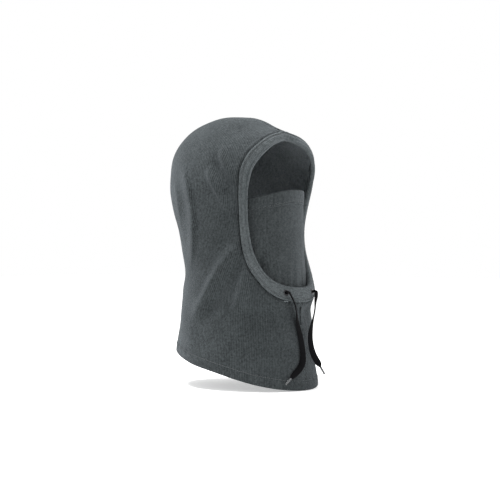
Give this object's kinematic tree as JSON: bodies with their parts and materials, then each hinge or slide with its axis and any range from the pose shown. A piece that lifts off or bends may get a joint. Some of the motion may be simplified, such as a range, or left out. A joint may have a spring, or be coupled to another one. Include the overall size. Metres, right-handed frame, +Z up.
{
  "type": "balaclava",
  "caption": "Fleece balaclava hood with an inner face mask, a folded drawcord casing round the face opening, eyelets at the chin and a flat lace with aglets.",
  "frame": {"origin": "where the top of the wearer's head carries the hood, on the inner face of the crown", "axes": "+Z up along the head, -Y the way the face looks, -X the wearer's right"},
  "size_m": [0.1978, 0.2381, 0.3901],
  "materials": {
    "fleece_body": "brushed micro fleece, graphite grey, matt with a soft sheen at the edges",
    "fleece_casing": "folded micro fleece, graphite grey",
    "fleece_mask": "micro fleece, graphite grey",
    "overlock_thread": "overlocked polyester thread",
    "stitching_thread": "twisted polyester thread",
    "eyelet_metal": "black lacquered metal",
    "lace": "flat woven polyester, black",
    "aglet_plastic": "clear film"
  },
  "bodies": {
    "hood": {"right_side_panel": "fleece_body", "left_side_panel": "fleece_body", "face_casing": "fleece_casing", "centre_seam_overlock": "overlock_thread", "front_seam_overlock": "overlock_thread", "hem_stitching": "stitching_thread", "casing_stitching": "stitching_thread", "mask_panel": "fleece_mask", "mask_seam_overlock": "overlock_thread", "right_eyelet": "eyelet_metal", "left_eyelet": "eyelet_metal", "right_eyelet_washer": "eyelet_metal", "left_eyelet_washer": "eyelet_metal", "casing_cord": "lace"},
    "mask_top": {"mask_top_hem": "fleece_mask", "mask_hem_stitching": "stitching_thread"},
    "right_lace": {"right_lace_end": "lace", "right_aglet": "aglet_plastic"},
    "left_lace": {"left_lace_end": "lace", "left_aglet": "aglet_plastic"}
  },
  "joints": [
    {"name": "mask_pull_down", "type": "slide", "parent": "hood", "child": "mask_top", "axis": [0, 0, -1], "range_m": [0, 0.08], "deforming": ["mask_panel"]},
    {"name": "right_lace_swing", "type": "hinge", "parent": "hood", "child": "right_lace", "pos_m": [-0.0312, -0.1142, -0.2502], "axis": [-1, 0, 0], "range_deg": [0, 90]},
    {"name": "left_lace_swing", "type": "hinge", "parent": "hood", "child": "left_lace", "pos_m": [0.0312, -0.1142, -0.2502], "axis": [-1, 0, 0], "range_deg": [0, 90]}
  ]
}
